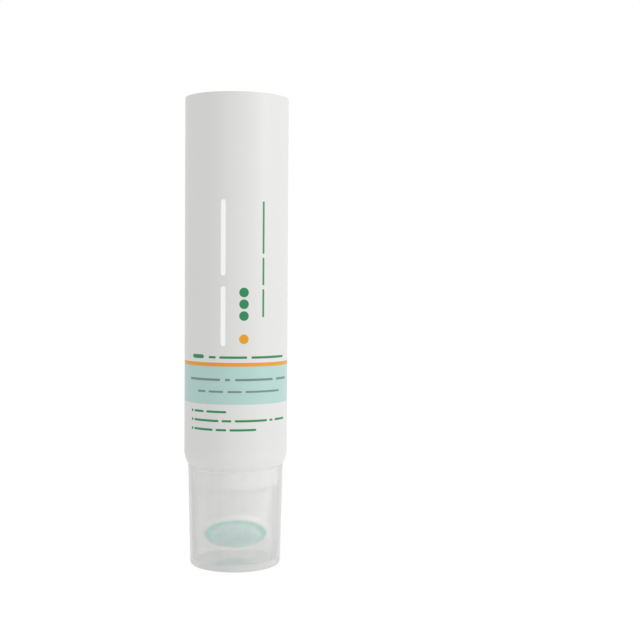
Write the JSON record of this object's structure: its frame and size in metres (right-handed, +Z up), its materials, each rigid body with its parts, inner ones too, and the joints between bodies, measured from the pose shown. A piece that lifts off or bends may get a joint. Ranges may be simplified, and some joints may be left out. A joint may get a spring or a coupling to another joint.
{
  "type": "face wash tube",
  "caption": "Round squeeze tube standing on a clear push-on cap that covers an angled brush applicator with a soft bristle pad and a centre outlet.",
  "frame": {"origin": "centre of the cap's underside, on the surface that the tube stands on", "axes": "+Z up along the tube's axis; the printed front and the face of the brush look towards -Y"},
  "size_m": [0.04, 0.04, 0.181],
  "materials": {
    "tube_skin": "soft satin polyethylene with a printed mint band and an orange line",
    "head_white": "moulded, satin",
    "pad_mint": "soft moulded elastomer, matt",
    "cap_clear": "clear moulded, slightly milky, glossy"
  },
  "bodies": {
    "cap": {"overcap": "cap_clear"},
    "tube": {"tube": "tube_skin", "applicator": "head_white", "brush_pad": "pad_mint"}
  },
  "joints": [
    {"name": "cap_pull", "type": "slide", "parent": "cap", "child": "tube", "axis": [0, 0, 1], "range_m": [0, 0.045]}
  ]
}
